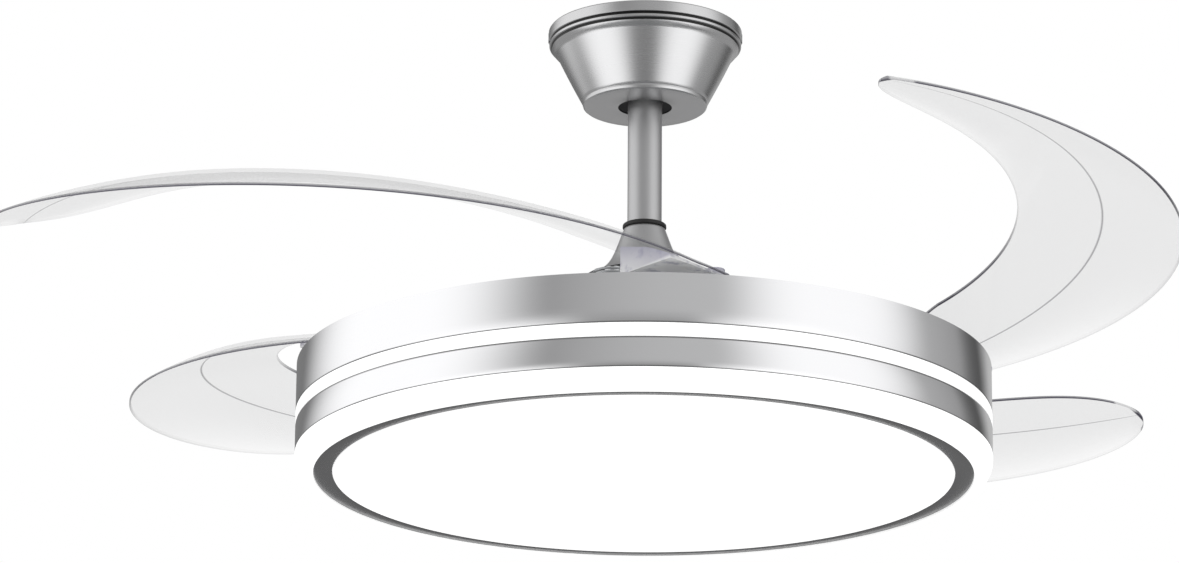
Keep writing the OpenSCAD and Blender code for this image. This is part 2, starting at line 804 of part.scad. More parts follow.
module blade_screws(k) {
    color("silver")
    at_blade(k)
    for (i = [0 : 2])
        translate([blade_screw_xy(i)[0], blade_screw_xy(i)[1], boss_top(i) - counterbore_h + 0.05])
        difference() {
            union() {
                cylinder(h = 2.6, r1 = 3.9, r2 = 3.4);
                translate([0, 0, arm_top - boss_top(i) - 1.5])
                    cylinder(h = boss_top(i) - arm_top + 2, r = blade_screw_r);
            }
            translate([0, 0, 1.2]) cylinder(h = 2, r = 1.6, $fn = 6);
        }
}

hub_r = pivot_pin_r + 6;
lug_dir = 110;
lug_dist = hub_r + 9;
post_r = 2;

module blade_arm(k) {
    color("gainsboro")
    at_blade(k)
    difference() {
        union() {
            translate([pivot[0], pivot[1], arm_z]) cylinder(h = hub_top - arm_z, r = hub_r);
            translate([0, 0, arm_z])
                linear_extrude(arm_t) {
                    polygon(pad_outline(boss_r + 3));
                    polygon(rounded([pivot, blade_screw_xy(0)], hub_r - 3));
                    polygon(rounded([pivot, blade_screw_xy(2)], hub_r - 4));
                    polygon(rounded([pivot, pivot + polar(lug_dist, lug_dir)], 4));
                }
            // post that the spring's outer leg pushes on
            translate([pivot[0], pivot[1], arm_top - 0.5])
                translate(polar(lug_dist, lug_dir)) cylinder(h = 5, r = post_r);
        }
        translate([pivot[0], pivot[1], 0]) cylinder(h = hub_top + 5, r = pivot_pin_r + run_fit);
        for (i = [0 : 2])
            translate([blade_screw_xy(i)[0], blade_screw_xy(i)[1], arm_top - 4.5])
                cylinder(h = 12, r = blade_screw_r + screw_fit);
    }
}

// ---------------------------------------------------------------- return springs

spring_r = hub_r + 0.5 + spring_wire / 2;
spring_z = arm_top + 0.3 + spring_wire / 2;
spring_end_z = pin_top - 2.4;
spring_side_count = 6;
spring_turn_steps = 14;
outer_leg = 18;
// The inner leg crosses the pin along its slot, and the outer leg bears on the arm's post
inner_leg_dir = pivot_azimuth + 180;
outer_leg_dir = lug_dir - acos((spring_r + post_r + spring_wire / 2 + 0.3) / lug_dist);
// A blade that stands further open winds its spring further
function wound_angle(k) =
    360 * spring_coils + (outer_leg_dir - inner_leg_dir + 720) % 360 + opening[k - 1];

function spring_path(k) =
    let (
        n = ceil(spring_turn_steps * wound_angle(k) / 360),
        start = inner_leg_dir + wound_angle(k),
        tangent = polar(outer_leg, start + 90),
        coil = [for (i = [0 : n])
            let (p = polar(spring_r, start - wound_angle(k) * i / n))
            [p[0], p[1], spring_z + (spring_end_z - spring_z) * i / n]]
    )
    concat(
        [coil[0] + [tangent[0], tangent[1], 0]],
        coil,
        [for (r = [pivot_pin_r + 2, 1 - pivot_pin_r])
            let (p = polar(r, inner_leg_dir)) [p[0], p[1], spring_end_z]]
    );

function unit(v) = v / norm(v);
// Ring of points around p, square to the direction d and level with the horizontal
function wire_ring(p, d) =
    let (side = unit(cross([0, 0, 1], d)), up = cross(d, side))
    [for (k = [0 : spring_side_count - 1])
        let (a = k * 360 / spring_side_count)
        p + spring_wire / 2 * (cos(a) * side + sin(a) * up)];

module return_spring(k) {
    path = spring_path(k);
    n = len(path) - 1;
    color("silver")
    at_pivot(k)
        skin([for (i = [0 : n])
            wire_ring(path[i], unit(path[min(n, i + 1)] - path[max(0, i - 1)]))]);
}

// ---------------------------------------------------------------- drum

module lamp_chassis() {
    flange_r = outer_ring_inner_r - 1;
    color("gainsboro")
    at_rim()
    difference() {
        rotate_extrude()
            polygon([
                [shaft_thread_r + 0.1, chassis_z - chassis_t], [skirt_r - 2, chassis_z - chassis_t],
                [skirt_r - 2, outer_ring_z + 1.7], [flange_r, outer_ring_z + 1.7],
                [flange_r, outer_ring_z + 0.2], [skirt_r, outer_ring_z + 0.2],
                [skirt_r, chassis_z], [shaft_thread_r + 0.1, chassis_z]
            ]);
        // notches that let the trim ring's lugs through before it is turned
        for (i = [0 : 3])
            rotate(i * 90 + 20) translate([flange_r - 3, -8, outer_ring_z - 1]) cube([7, 16, 4]);
        around(4, tray_post_circle, 45)
            translate([0, 0, chassis_z - 10]) cylinder(h = 12, r = 1.7, $fn = 32);
        // wiring slot beside the shaft nut
        translate([26, -6, chassis_z - 10]) cube([14, 12, 20]);
    }
}

// Metal band with a flange at each edge that seats on the chassis skirt
module band(top, h, upper_flange) {
    color("silver")
    at_rim()
        rotate_extrude()
            polygon([
                [drum_r, top - 0.15], [drum_r, top - h + 0.15],
                [skirt_r + 0.2, top - h + 0.15], [skirt_r + 0.2, top - h + 1.4],
                [drum_r - band_t, top - h + 1.4],
                [drum_r - band_t, upper_flange - 1.3], [skirt_r + 0.2, upper_flange - 1.3],
                [skirt_r + 0.2, upper_flange], [drum_r - band_t, upper_flange],
                [drum_r - band_t, top - 0.15]
            ]);
}

module upper_band() {
    band(0.15, upper_band_h + 0.15, chassis_z - 2);
}

module lower_band() {
    band(lower_band_z, lower_band_h, lower_band_z - 0.2);
}

module light_ring() {
    color("white")
    at_rim()
        rotate_extrude()
            polygon([
                [skirt_r + 1.6, lower_band_z + 0.05], [drum_r - 0.3, lower_band_z + 0.05],
                [drum_r, lower_band_z + 0.6], [drum_r, light_ring_z - 0.6],
                [drum_r - 0.3, light_ring_z - 0.05], [skirt_r + 1.6, light_ring_z - 0.05]
            ]);
}

module side_led_strip() {
    led_count = 48;
    color("white")
    at_rim(lower_band_z + light_ring_h / 2) {
        ring(skirt_r + 0.5, skirt_r + 0.1, 5, -2.5);
        around(led_count, skirt_r + 0.4) translate([0, -1.4, -1.4]) cube([0.9, 2.8, 2.8]);
    }
}

// White acrylic channel whose outer side rounds under the drum
module outer_ring() {
    r = outer_ring_h - 2.4;
    inner_r = outer_ring_inner_r;
    wall = 2.2;
    top = outer_ring_z - 0.05;
    centre = [drum_r - r, drum_bottom + r];
    color("white")
    at_rim()
        rotate_extrude()
            polygon(concat(
                [[drum_r, top]],
                [for (a = [0 : -9 : -90]) centre + polar(r, a)],
                [[inner_r, drum_bottom], [inner_r, top], [inner_r + wall, top],
                 [inner_r + wall, drum_bottom + wall]],
                [for (a = [-90 : 15 : 0]) centre + polar(r - wall, a)],
                [[drum_r - wall, top]]
            ));
}

module trim_ring() {
    wall = 1.8;
    wall_r = trim_outer_r - 0.9;
    lug_z = outer_ring_z + 1.9;
    color("dimgray")
    at_rim() {
        rotate_extrude()
            polygon([
                [trim_inner_r, trim_bottom], [trim_outer_r, trim_bottom],
                [trim_outer_r, outer_ring_z - 0.5], [wall_r, outer_ring_z - 0.5],
                [wall_r, lug_z + 1.6], [wall_r - wall, lug_z + 1.6],
                [wall_r - wall, trim_bottom + trim_t], [trim_inner_r, trim_bottom + trim_t]
            ]);
        // lugs that rest on the chassis flange once the ring is turned
        for (i = [0 : 3])
            rotate(i * 90 + 45)
                rotate_extrude(angle = 3)
                    translate([wall_r - 0.7, lug_z]) square([4.5, 1.6]);
    }
}

// Opal sheet whose rim rests on the trim ring and whose face drops through it
module diffuser() {
    face_r = trim_inner_r - 0.3;
    rim_r = trim_outer_r - 3;
    face_z = trim_bottom - diffuser_drop;
    rim_z = trim_bottom + trim_t + 0.05;
    color("white")
    at_rim()
        rotate_extrude()
            polygon([
                [0, face_z], [face_r - 1.2, face_z], [face_r - 0.4, face_z + 0.3], [face_r, face_z + 1.1],
                [face_r, rim_z], [rim_r, rim_z], [rim_r, rim_z + diffuser_t],
                [face_r - 2, rim_z + diffuser_t], [face_r - diffuser_t - 0.5, face_z + diffuser_t],
                [0, face_z + diffuser_t]
            ]);
}

module led_tray() {
    color("gainsboro")
    at_rim()
    difference() {
        union() {
            ring(tray_r, 20, tray_t, tray_z);
            // rolled edge that stiffens the tray
            ring(tray_r, tray_r - 2, 5, tray_z);
            around(4, tray_post_circle, 45)
                translate([0, 0, tray_z + tray_t - 0.1])
                    cylinder(h = chassis_z - chassis_t - tray_z - tray_t + 0.05, r = 5);
        }
        around(4, tray_post_circle, 45)
            translate([0, 0, chassis_z - chassis_t - 12]) cylinder(h = 20, r = 1.6, $fn = 32);
    }
}

module tray_screws() {
    color("silver")
    at_rim(chassis_z)
    around(4, tray_post_circle, 45) {
        translate([0, 0, 0.05]) cylinder(h = 2.2, r = 3.2, $fn = 32);
        translate([0, 0, -chassis_t - 10]) cylinder(h = chassis_t + 10.5, r = 1.5, $fn = 32);
    }
}

module led_board() {
    board_t = 1.2;
    color("white")
    at_rim(tray_z - 0.05 - board_t) {
        ring(board_r, board_inner_r, board_t);
        for (row = [0 : led_rows - 1])
            around(16 + 8 * row, first_led_circle + row * led_row_pitch, row * 7)
                translate([-2, -2, -1.1]) cube([4, 4, 1.2]);
    }
}

module led_driver() {
    color("white")
    at_rim(chassis_z - chassis_t - driver_h - 0.1) translate([-driver_l / 2, driver_y, 0]) {
        cube([driver_l, driver_w, driver_h]);
        for (side = [-1, 1])
            translate([driver_l / 2 + side * (driver_l / 2 + 5), driver_w / 2, driver_h - 1.5])
                cube([12, case_ear_l, 3], center = true);
    }
}

module remote_receiver() {
    color("white")
    at_rim(chassis_z - chassis_t - receiver_h - 0.1) translate([-receiver_l / 2, -receiver_y, 0]) {
        cube([receiver_l, receiver_w, receiver_h]);
        for (side = [-1, 1])
            translate([receiver_l / 2 + side * (receiver_l / 2 + 5), receiver_w / 2, receiver_h - 1.25])
                cube([12, case_ear_l, 2.5], center = true);
    }
}

ceiling_bracket();
canopy();
canopy_screws();
hanger_ball();
ball_pin();
ball_set_screw();
downrod();
rod_gasket();
coupling_cover();
motor_yoke();
yoke_pin();
yoke_split_pin();
yoke_set_screws();
motor_shaft();
stator_core();
stator_windings();
bearing(lower_bearing_z);  // lower_bearing
bearing(upper_bearing_z);  // upper_bearing
rotor_bottom_cover();
rotor_top_cover();
rotor_magnets();
rotor_screws();
blade_plate();
plate_screws();
pivot_pins();
pivot_clips();
blade(1);  // blade_1
blade(2);  // blade_2
blade(3);  // blade_3
blade(4);  // blade_4
blade_arm(1);  // blade_arm_1
blade_arm(2);  // blade_arm_2
blade_arm(3);  // blade_arm_3
blade_arm(4);  // blade_arm_4
blade_screws(1);  // blade_screws_1
blade_screws(2);  // blade_screws_2
blade_screws(3);  // blade_screws_3
blade_screws(4);  // blade_screws_4
return_spring(1);  // return_spring_1
return_spring(2);  // return_spring_2
return_spring(3);  // return_spring_3
return_spring(4);  // return_spring_4
lamp_chassis();
shaft_nut();
upper_band();
light_ring();
lower_band();
outer_ring();
trim_ring();
diffuser();
led_tray();
led_board();
tray_screws();
led_driver();
remote_receiver();
side_led_strip();
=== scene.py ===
"""Ceiling fan with clear folding blades over a drum light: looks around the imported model."""

import json
import math

import bmesh
import bpy
from mathutils import Matrix, Vector


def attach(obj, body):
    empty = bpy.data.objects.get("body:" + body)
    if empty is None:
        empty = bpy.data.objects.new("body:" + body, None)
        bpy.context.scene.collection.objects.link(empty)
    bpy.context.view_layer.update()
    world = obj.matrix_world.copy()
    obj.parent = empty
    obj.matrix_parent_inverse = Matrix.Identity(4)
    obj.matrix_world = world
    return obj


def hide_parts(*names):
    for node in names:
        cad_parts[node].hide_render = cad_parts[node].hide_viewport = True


MM = 0.001
RIM = -260.0            # height of the drum's top edge, in millimetres; the ceiling is at 0
DRUM_R = 250.0
PHOTO_WIDTH = 1179
ONE_POINT = 0.000002    # points nearer to each other than this are merged, in metres

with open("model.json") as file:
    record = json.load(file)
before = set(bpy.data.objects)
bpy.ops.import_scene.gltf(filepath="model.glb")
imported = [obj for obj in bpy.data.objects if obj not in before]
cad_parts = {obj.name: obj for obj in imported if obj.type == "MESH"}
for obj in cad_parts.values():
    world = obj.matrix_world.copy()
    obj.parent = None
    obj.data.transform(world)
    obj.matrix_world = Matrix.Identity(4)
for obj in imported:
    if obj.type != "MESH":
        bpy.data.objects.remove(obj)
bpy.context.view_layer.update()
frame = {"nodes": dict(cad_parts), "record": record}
record = frame["record"]
slot_of = {row["node"]: row["material_slot"] for row in record["subparts"]}
body_of = {n: b for b, names in record["behaviour"]["bodies"].items() for n in names}


# ---------------------------------------------------------------- shader maths

class Value:
    """One socket of a shader tree that takes part in arithmetic."""

    def __init__(self, shader, socket):
        self.shader = shader
        self.socket = socket

    def other(self, name):
        """Another output of the node that this value comes from."""
        return Value(self.shader, self.socket.node.outputs[name])

    def _op(self, operation, *others):
        return self.shader.math(operation, self, *others)

    def __add__(self, o): return self._op("ADD", o)
    def __radd__(self, o): return self.shader.math("ADD", o, self)
    def __sub__(self, o): return self._op("SUBTRACT", o)
    def __rsub__(self, o): return self.shader.math("SUBTRACT", o, self)
    def __mul__(self, o): return self._op("MULTIPLY", o)
    def __rmul__(self, o): return self.shader.math("MULTIPLY", o, self)
    def __truediv__(self, o): return self._op("DIVIDE", o)
    def __rtruediv__(self, o): return self.shader.math("DIVIDE", o, self)
    def __pow__(self, o): return self._op("POWER", o)


class Shader:
    """A material, or the world, and its nodes."""

    def __init__(self, owner):
        owner.use_nodes = True
        self.owner = owner
        self.tree = owner.node_tree
        self.tree.nodes.clear()

    def add(self, kind, settings=None, values=None, out=0):
        node = self.tree.nodes.new(kind)
        for key, value in (settings or {}).items():
            setattr(node, key, value)
        for key, value in (values or {}).items():
            if isinstance(value, Value):
                self.tree.links.new(value.socket, node.inputs[key])
            elif value is not None:
                node.inputs[key].default_value = value
        return Value(self, node.outputs[out])

    def math(self, operation, *values):
        return self.add("ShaderNodeMath", {"operation": operation}, dict(enumerate(values)))

    def smooth(self, value, low, high):
        """From 0 at low to 1 at high, easing in and out."""
        return self.add("ShaderNodeMapRange", {"interpolation_type": "SMOOTHSTEP"},
                        {"Value": value, "From Min": low, "From Max": high})

    def mix(self, factor, a, b):
        return self.add("ShaderNodeMix", {"data_type": "RGBA"},
                        {0: factor, 6: rgba(a), 7: rgba(b)}, out=2)

    def place(self, stretch=(1, 1, 1)):
        """Object coordinates in metres, stretched."""
        here = self.add("ShaderNodeTexCoord", out="Object")
        return self.add("ShaderNodeVectorMath", {"operation": "MULTIPLY"}, {0: here, 1: stretch})

    def height(self):
        return self.add("ShaderNodeSeparateXYZ", None, {0: self.place()}, out="Z")

    def painted(self, name):
        """A number that the piece's own vertices carry."""
        return self.add("ShaderNodeAttribute", {"attribute_name": name}, out="Fac")

    def noise(self, where, scale=1.0, detail=2.0, roughness=0.5):
        return self.add("ShaderNodeTexNoise", None,
                        {"Vector": where, "Scale": scale, "Detail": detail, "Roughness": roughness})

    def bump(self, height, distance, strength=1.0):
        return self.add("ShaderNodeBump", None,
                        {"Height": height, "Distance": distance, "Strength": strength})

    def surface(self, **values):
        """Finishes the material with a lit surface and gives the material back."""
        settings = {key.replace("_", " "): value for key, value in values.items()}
        self.finish(self.add("ShaderNodeBsdfPrincipled", None, settings), "ShaderNodeOutputMaterial")
        return self.owner

    def finish(self, shaded, kind):
        self.tree.links.new(shaded.socket, self.tree.nodes.new(kind).inputs["Surface"])


def rgba(colour):
    if isinstance(colour, Value):
        return colour
    if isinstance(colour, (int, float)):
        return (colour, colour, colour, 1.0)
    return (*colour, 1.0)


def shade(tint, share):
    return [min(1, c * share) for c in tint]


def material(name):
    return Shader(bpy.data.materials.new(name))


# ---------------------------------------------------------------- finishes

BRUSHING = (5, 5, 900)      # long round the fan's axis, fine up and down it
# near-black colour of the painted shade in grooves and on rolled edges
PAINTED_SHADE_TONE = 0.03


def satin_metal(name, tint, rough, metal=1.0, depth=0.0000012, spread=0.015):
    """Plated sheet, finely brushed round the axis. A vertex attribute paints shade into turned grooves and
    onto rolled edges.
    """
    m = material(name)
    grain = m.noise(m.place(BRUSHING), 1.0, 3.0, 0.6)
    cloud = m.noise(m.place(), 14.0, 2.0)
    tone = m.mix(grain, shade(tint, 1 - spread), shade(tint, 1 + spread))
    # painted shade: the vertex attribute blends the plating towards near black
    return m.surface(Base_Color=m.mix(m.painted("groove"), tone, PAINTED_SHADE_TONE), Metallic=metal,
                     Roughness=rough + (grain - 0.5) * 0.04 + (cloud - 0.5) * 0.03,
                     Normal=m.bump(grain, depth, 0.3))


def plated_steel(name, tint, rough):
    """Zinc plated or blackened steel: a faint crystalline mottle."""
    m = material(name)
    spot = m.add("ShaderNodeTexVoronoi", None, {"Vector": m.place(), "Scale": 420.0})
    cloud = m.noise(m.place(), 60.0, 3.0)
    return m.surface(Base_Color=m.mix(cloud, shade(tint, 0.82), tint), Metallic=0.95,
                     Roughness=rough + spot * 0.12 + (cloud - 0.5) * 0.12,
                     Normal=m.bump(cloud, 0.00004, 0.4))


def cast_metal(name, tint, rough):
    """Die cast alloy: fine pebbled skin."""
    m = material(name)
    skin = m.noise(m.place(), 900.0, 3.0, 0.65)
    cloud = m.noise(m.place(), 30.0, 2.0)
    return m.surface(Base_Color=m.mix(cloud, shade(tint, 0.86), tint), Metallic=0.9,
                     Roughness=rough + (skin - 0.5) * 0.2, Normal=m.bump(skin, 0.00006, 0.5))


def moulded_plastic(name, tint, rough):
    """Moulded plastic or rubber with a fine texture and a slight shade drift."""
    m = material(name)
    skin = m.noise(m.place(), 1300.0, 2.0)
    cloud = m.noise(m.place(), 25.0, 2.0)
    return m.surface(Base_Color=m.mix(cloud, shade(tint, 0.94), tint),
                     Roughness=rough + (skin - 0.5) * 0.12, Normal=m.bump(skin, 0.00003, 0.5))


def powder_coat(name, tint):
    """Sprayed and baked paint: a slight orange peel."""
    m = material(name)
    peel = m.noise(m.place(), 700.0, 2.0)
    return m.surface(Base_Color=m.mix(peel, shade(tint, 0.97), tint),
                     Roughness=0.42 + (peel - 0.5) * 0.15, Normal=m.bump(peel, 0.00005, 0.5))


def glowing_acrylic(name, glow, cloudy=0.012):
    """Opal acrylic with its light on: a very faint cloudiness in the glow."""
    m = material(name)
    cloud = m.smooth(m.noise(m.place((1, 1, 0.3)), 24.0, 3.0), 0.35, 0.75)
    return m.surface(Base_Color=m.mix(cloud, 0.80, 0.83), Roughness=0.32 + (cloud - 0.5) * 0.04,
                     Emission_Color=m.mix(cloud, 1 - cloudy, 1.0), Emission_Strength=glow)


def laminated_steel(name):
    """Thin electrical sheets stacked on one another."""
    m = material(name)
    sheet = m.math("SINE", m.height() * 9000.0)
    return m.surface(Base_Color=m.mix(sheet * 0.5 + 0.5, 0.10, 0.24), Metallic=0.85,
                     Roughness=0.45 + sheet * 0.05, Normal=m.bump(sheet, 0.00005, 0.6))


def wound_copper(name):
    """Enamelled wire, turn by turn."""
    m = material(name)
    turn = m.math("SINE", m.height() * 6200.0)
    return m.surface(Base_Color=m.mix(turn * 0.5 + 0.5, (0.36, 0.13, 0.05), (0.82, 0.42, 0.20)),
                     Metallic=0.9, Roughness=0.33 + turn * 0.06, Normal=m.bump(turn, 0.0002, 0.8))


def led_board_paint(name):
    """White solder mask, lit from its own diodes."""
    m = material(name)
    skin = m.noise(m.place(), 260.0, 2.0)
    return m.surface(Base_Color=m.mix(skin, (0.84, 0.84, 0.80), (0.93, 0.93, 0.90)),
                     Roughness=0.5 + (skin - 0.5) * 0.1, Emission_Color=rgba((1.0, 0.99, 0.96)),
                     Emission_Strength=0.6)


def clear_blade(name):
    """Clear plastic with painted shade along its cut edges and its crease, and painted pale light where its
    attributes make it more see-through.
    """
    m = material(name)
    rim, crease_shade, painted_glare = m.painted("rim"), m.painted("crease_shade"), m.painted("painted_glare")
    cloud = m.noise(m.place(), 9.0, 2.0)
    body = m.mix(cloud, (0.30, 0.30, 0.315), (0.36, 0.36, 0.37))
    # painted shade: darker along the crease, and darker still along the cut edges
    crease_shaded = m.mix(crease_shade * 0.9, body, (0.06, 0.06, 0.09))
    return m.surface(Base_Color=m.mix(rim, crease_shaded, (0.020, 0.016, 0.045)), IOR=1.49,
                     Roughness=0.06 + (cloud - 0.5) * 0.03,
                     # painted pale light lowers the alpha; painted shade raises it along the crease and cut
                     # edges
                     Alpha=(0.135 + crease_shade * 0.62) * (1.0 - painted_glare) + rim * 0.95)


def clear_block(name):
    """The thick root of the same plastic, whitish with flow marks, and with painted shade along its edges."""
    m = material(name)
    rim = m.painted("rim")
    swirl = m.noise(m.place(), 55.0, 4.0, 0.6)
    mark = m.smooth(swirl, 0.56, 0.70)
    body = m.mix(mark, (0.97, 0.97, 0.975), (0.50, 0.50, 0.58))
    return m.surface(Base_Color=m.mix(rim, body, (0.30, 0.29, 0.40)), IOR=1.49,
                     Roughness=0.12 + (swirl - 0.5) * 0.1, Alpha=0.88 + rim * 0.06 + mark * 0.06)


FINISH = {
    "satin_steel": satin_metal("satin nickel", (0.53, 0.53, 0.535), 0.27),
    "polished_band": satin_metal("satin chrome band", (0.74, 0.74, 0.75), 0.11, depth=0.000003),
    "zinc_steel": plated_steel("zinc plate", (0.62, 0.63, 0.64), 0.26),
    "dark_steel": plated_steel("black oxide", (0.06, 0.06, 0.065), 0.34),
    "cast_aluminium": cast_metal("cast motor cover", (0.56, 0.57, 0.58), 0.38),
    "dark_trim": satin_metal("dark trim plating", (0.085, 0.085, 0.09), 0.26),
    "clear_plastic": clear_blade("clear blade"),
    "white_acrylic": glowing_acrylic("opal acrylic, lit", 0.62),
    "black_rubber": moulded_plastic("black rubber", (0.010, 0.010, 0.010), 0.6),
    "bearing_steel": satin_metal("ground bearing steel", (0.70, 0.70, 0.71), 0.16),
    "stator_steel": laminated_steel("stator laminations"),
    "copper_wire": wound_copper("enamelled copper"),
    "magnet": cast_metal("sintered magnet", (0.10, 0.10, 0.105), 0.5),
    "white_sheet": powder_coat("white powder coat", (0.84, 0.84, 0.83)),
    "white_plastic": moulded_plastic("white case", (0.80, 0.80, 0.78), 0.45),
    "led_white": led_board_paint("board with white mask"),
}
block_finish = clear_block("clear root block")
tube_finish = satin_metal("satin nickel, brushed duller", (0.45, 0.45, 0.455), 0.40, metal=0.8)
# the canopy's inside: unplated, and darkened to near black as painted shade for the hollow
inside_shade_finish = cast_metal("unplated canopy inside, painted dark as shade", (0.050, 0.050, 0.052), 0.6)


# ---------------------------------------------------------------- making pieces

def settle(bm, name, finishes, smooth_below=32.0):
    """Turns a bmesh into an object: outward faces, smooth where the surface bends gently."""
    bmesh.ops.recalc_face_normals(bm, faces=bm.faces[:])
    limit = math.radians(smooth_below)
    for face in bm.faces:
        face.smooth = True
    for edge in bm.edges:
        if len(edge.link_faces) == 2 and edge.calc_face_angle(0.0) > limit:
            edge.smooth = False
    mesh = bpy.data.meshes.new(name)
    bm.to_mesh(mesh)
    bm.free()
    for finish in finishes:
        mesh.materials.append(finish)
    piece = bpy.data.objects.new(name, mesh)
    bpy.context.scene.collection.objects.link(piece)
    return piece


def stand_for(piece, node):
    """The piece takes a CAD node's place and body; the node itself is hidden."""
    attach(piece, body_of[node])
    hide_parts(node)


def loop(bm, points):
    """A closed ring of vertices and the edges between them."""
    ring = [bm.verts.new(p) for p in points]
    return ring, [bm.edges.new((ring[i], ring[(i + 1) % len(ring)])) for i in range(len(ring))]


def turned(name, outline, node, steps=240, round_edges=0.0, z=RIM, finish=None, mark=None, inside=None):
    """A closed outline of (radius, height) in millimetres spun about the fan's axis, sharp rims eased."""
    bm = bmesh.new()
    ring, edges = loop(bm, [(r * MM, 0, (h + z) * MM) for r, h in outline])
    if outline[0][0] == 0:      # a disc: nothing closes it along the axis
        bm.edges.remove(edges.pop())
    bmesh.ops.spin(bm, geom=ring + edges, axis=(0, 0, 1), cent=(0, 0, 0),
                   angle=math.tau, steps=steps, use_merge=True)
    bmesh.ops.remove_doubles(bm, verts=bm.verts[:], dist=ONE_POINT)
    bmesh.ops.recalc_face_normals(bm, faces=bm.faces[:])
    if round_edges:
        sharp = [e for e in bm.edges if len(e.link_faces) == 2 and e.calc_face_angle(0.0) > 0.6]
        bmesh.ops.bevel(bm, geom=sharp, offset=round_edges * MM, segments=2, profile=0.5,
                        affect="EDGES", material=-1, clamp_overlap=True)
    if mark:
        mark(bm)
    finishes = [finish or FINISH[slot_of[node]]] + ([inside] if inside else [])
    stand_for(settle(bm, name, finishes), node)


def smoothed(node, widest=None):
    """A copy of a CAD node with its triangles joined, so that its curved faces shade smoothly."""
    bm = bmesh.new()
    bm.from_mesh(frame["nodes"][node].data)
    bmesh.ops.remove_doubles(bm, verts=bm.verts[:], dist=ONE_POINT)
    if widest:
        for v in bm.verts:
            v.co.x = max(-widest, min(widest, v.co.x))
    stand_for(settle(bm, node + "_piece", [FINISH[slot_of[node]]], 30.0), node)


def arc(cx, cy, r, degrees):
    return [(cx + r * math.cos(math.radians(a)), cy + r * math.sin(math.radians(a))) for a in degrees]


# ---------------------------------------------------------------- canopy, rod and cover

CANOPY_R, CANOPY_H, LIP_R, ROD_HOLE_R, CANOPY_T = 71.0, 58.6, 45.3, 19.5, 1.2
UPPER_GROOVE, LOWER_GROOVE = (-9.8, -8.4), (-14.1, -12.5)      # heights between which they lie
BELL_STEPS = 24


def canopy_outline():
    """Flange, groove, bead, groove, the tapering bell, and the lip round its flat bottom."""
    r, h, lip, t = CANOPY_R, CANOPY_H, LIP_R, CANOPY_T
    outer = [(r - 0.6, -0.1), (r, -1), (r, -8), (r - 1.7, -8.5), (r - 1.7, -9.7), (r - 0.5, -10.3),
             (r - 0.5, -12), (r - 2.3, -12.6), (r - 2.3, -14), (r - 4.6, -16.6)]
    for i in range(BELL_STEPS + 1):
        u = i / BELL_STEPS
        outer.append((r - 6 - (r - 7 - lip) * u + 0.3 * math.sin(math.pi * u), -17.5 - u * (h - 21.5)))
    outer += [(lip + 0.2, -h + 3.4), (lip + 0.5, -h + 2.4), (lip, -h + 0.8), (lip - 1, -h)]
    inner = [(a - t, b) for a, b in reversed(outer) if b > -h + t]
    return outer + [(ROD_HOLE_R, -h), (ROD_HOLE_R, -h + t), (lip - 1 - t, -h + t)] + inner


def mark_canopy(bm):
    """Paints shade into the two turned grooves, and gives the inside an unplated finish darkened to near
    black as painted shade.
    """
    groove = bm.verts.layers.float.new("groove")
    for v in bm.verts:
        h, r = v.co.z / MM, math.hypot(v.co.x, v.co.y) / MM
        upper = UPPER_GROOVE[0] < h < UPPER_GROOVE[1] and r < CANOPY_R - 1.4
        lower = LOWER_GROOVE[0] < h < LOWER_GROOVE[1] and r < CANOPY_R - 2.0
        if r > CANOPY_R - 3.0 and (upper or lower):
            v[groove] = 1.0
    # inner faces take the near-black inside finish, which paints the shade of the hollow
    for face in bm.faces:
        c = face.calc_center_median()
        outwards = face.normal.dot(Vector((c.x, c.y, 0)).normalized())
        if outwards < -0.2 or face.normal.z > 0.5 and c.z < -20 * MM:
            face.material_index = 1


COVER_TOP, COVER_H, COVER_BASE_R, COVER_NECK_R, COVER_T = 108.4, 38.8, 44.0, 15.0, 1.3
COVER_STEPS, COVER_TAPER, COVER_EASE = 32, 14.0, 0.6
ROD_R, ROD_CLEAR_R = 12.5, 12.55
YOKE_TOP = 101.0


def trumpet_outline():
    """Straight taper at the neck, then a quick flare to the base; open over the yoke inside."""
    flare = COVER_BASE_R - COVER_NECK_R - COVER_TAPER
    steps = [i / COVER_STEPS for i in range(COVER_STEPS + 1)]
    wall = [(COVER_NECK_R + COVER_TAPER * u + flare * u ** 6,
             COVER_TOP - COVER_EASE - u * (COVER_H - COVER_EASE)) for u in steps]
    inner = [(r - COVER_T, h) for r, h in reversed(wall) if h < YOKE_TOP - 1]
    mouth = [(ROD_CLEAR_R, COVER_TOP), (COVER_NECK_R - COVER_EASE, COVER_TOP)]
    return mouth + wall + inner + [(ROD_CLEAR_R, inner[-1][1])]


turned("canopy_shell", canopy_outline(), "canopy", z=0.0, round_edges=0.2, mark=mark_canopy,
       inside=inside_shade_finish)
turned("cover_trumpet", trumpet_outline(), "coupling_cover", steps=160, round_edges=0.2, finish=tube_finish)
turned("rod_tube", [(ROD_R, 84.6), (ROD_R, 248), (10.7, 248), (10.7, 84.6)], "downrod", steps=128,
       round_edges=0.25, finish=tube_finish)
turned("rod_rubber_ring", [(ROD_CLEAR_R, 108.45), (15.6, 108.45), (16.0, 109.1), (15.8, 111.0),
                           (15.0, 111.7), (ROD_CLEAR_R, 111.7)], "rod_gasket", steps=128, round_edges=0.15)

# ---------------------------------------------------------------- drum

ROUND_STEPS = 360
SHEET_R, FOLD_R = DRUM_R - 1.5, 245.2      # inner wall of the bands, and how far in their folded edges reach
FOLD_T = 1.25
GLOW_R, TRIM_IN_R, TRIM_R = 246.6, 222.9, 236.4
# heights below the drum's top edge: the two bands, the glowing ring between them, and the white ring below
UPPER_END, GLOW_TOP, GLOW_END, LOWER_TOP, LOWER_END = -34.85, -35.05, -44.45, -44.65, -65.85
WHITE_TOP, WHITE_END = -66.05, -80.0


